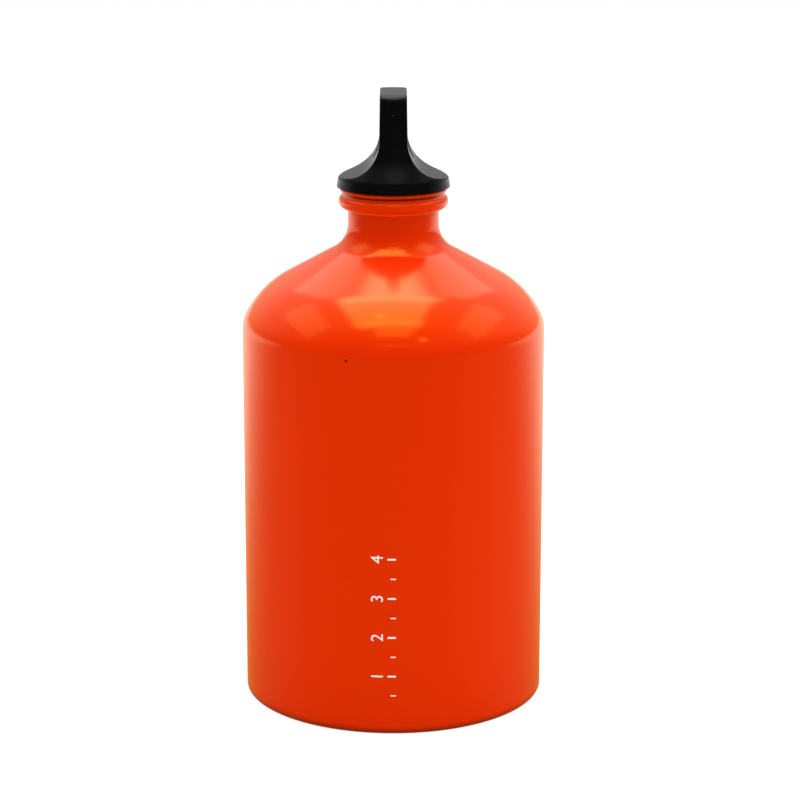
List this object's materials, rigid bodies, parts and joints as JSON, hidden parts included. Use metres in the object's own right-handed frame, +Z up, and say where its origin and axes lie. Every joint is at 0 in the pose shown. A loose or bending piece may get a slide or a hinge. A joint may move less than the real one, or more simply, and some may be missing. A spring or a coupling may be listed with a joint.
{
  "type": "camping fuel bottle",
  "caption": "Wide cylindrical metal bottle with a domed shoulder, a short beaded neck, a seal ring and a black screw-in stopper with a carrying loop.",
  "frame": {"origin": "centre of the base, on the plane that the bottle stands on", "axes": "+Z up along the bottle's axis; the loop's blade lies in the YZ plane, with its hole along X, and -Y is the side that carries the printed scale"},
  "size_m": [0.1, 0.1, 0.2032],
  "materials": {
    "enamelled_shell": "gloss orange enamel on drawn aluminium",
    "seal_rubber": "matt black nitrile rubber",
    "cap_plastic": "satin black moulded nylon"
  },
  "bodies": {
    "bottle": {"bottle_shell": "enamelled_shell"},
    "seal": {"seal_ring": "seal_rubber"},
    "stopper": {"cap": "cap_plastic"}
  },
  "joints": [
    {"name": "cap_rise", "type": "slide", "parent": "bottle", "child": "seal", "axis": [0, 0, 1], "range_m": [0, 0.015]},
    {"name": "cap_turn", "type": "hinge", "parent": "seal", "child": "stopper", "pos_m": [0, 0, 0.1716], "axis": [0, 0, 1], "range_deg": [0, 1800]}
  ],
  "couplings": [
    {"joint": "cap_rise", "follows": "cap_turn", "m_per_rad": 0.00047746}
  ]
}
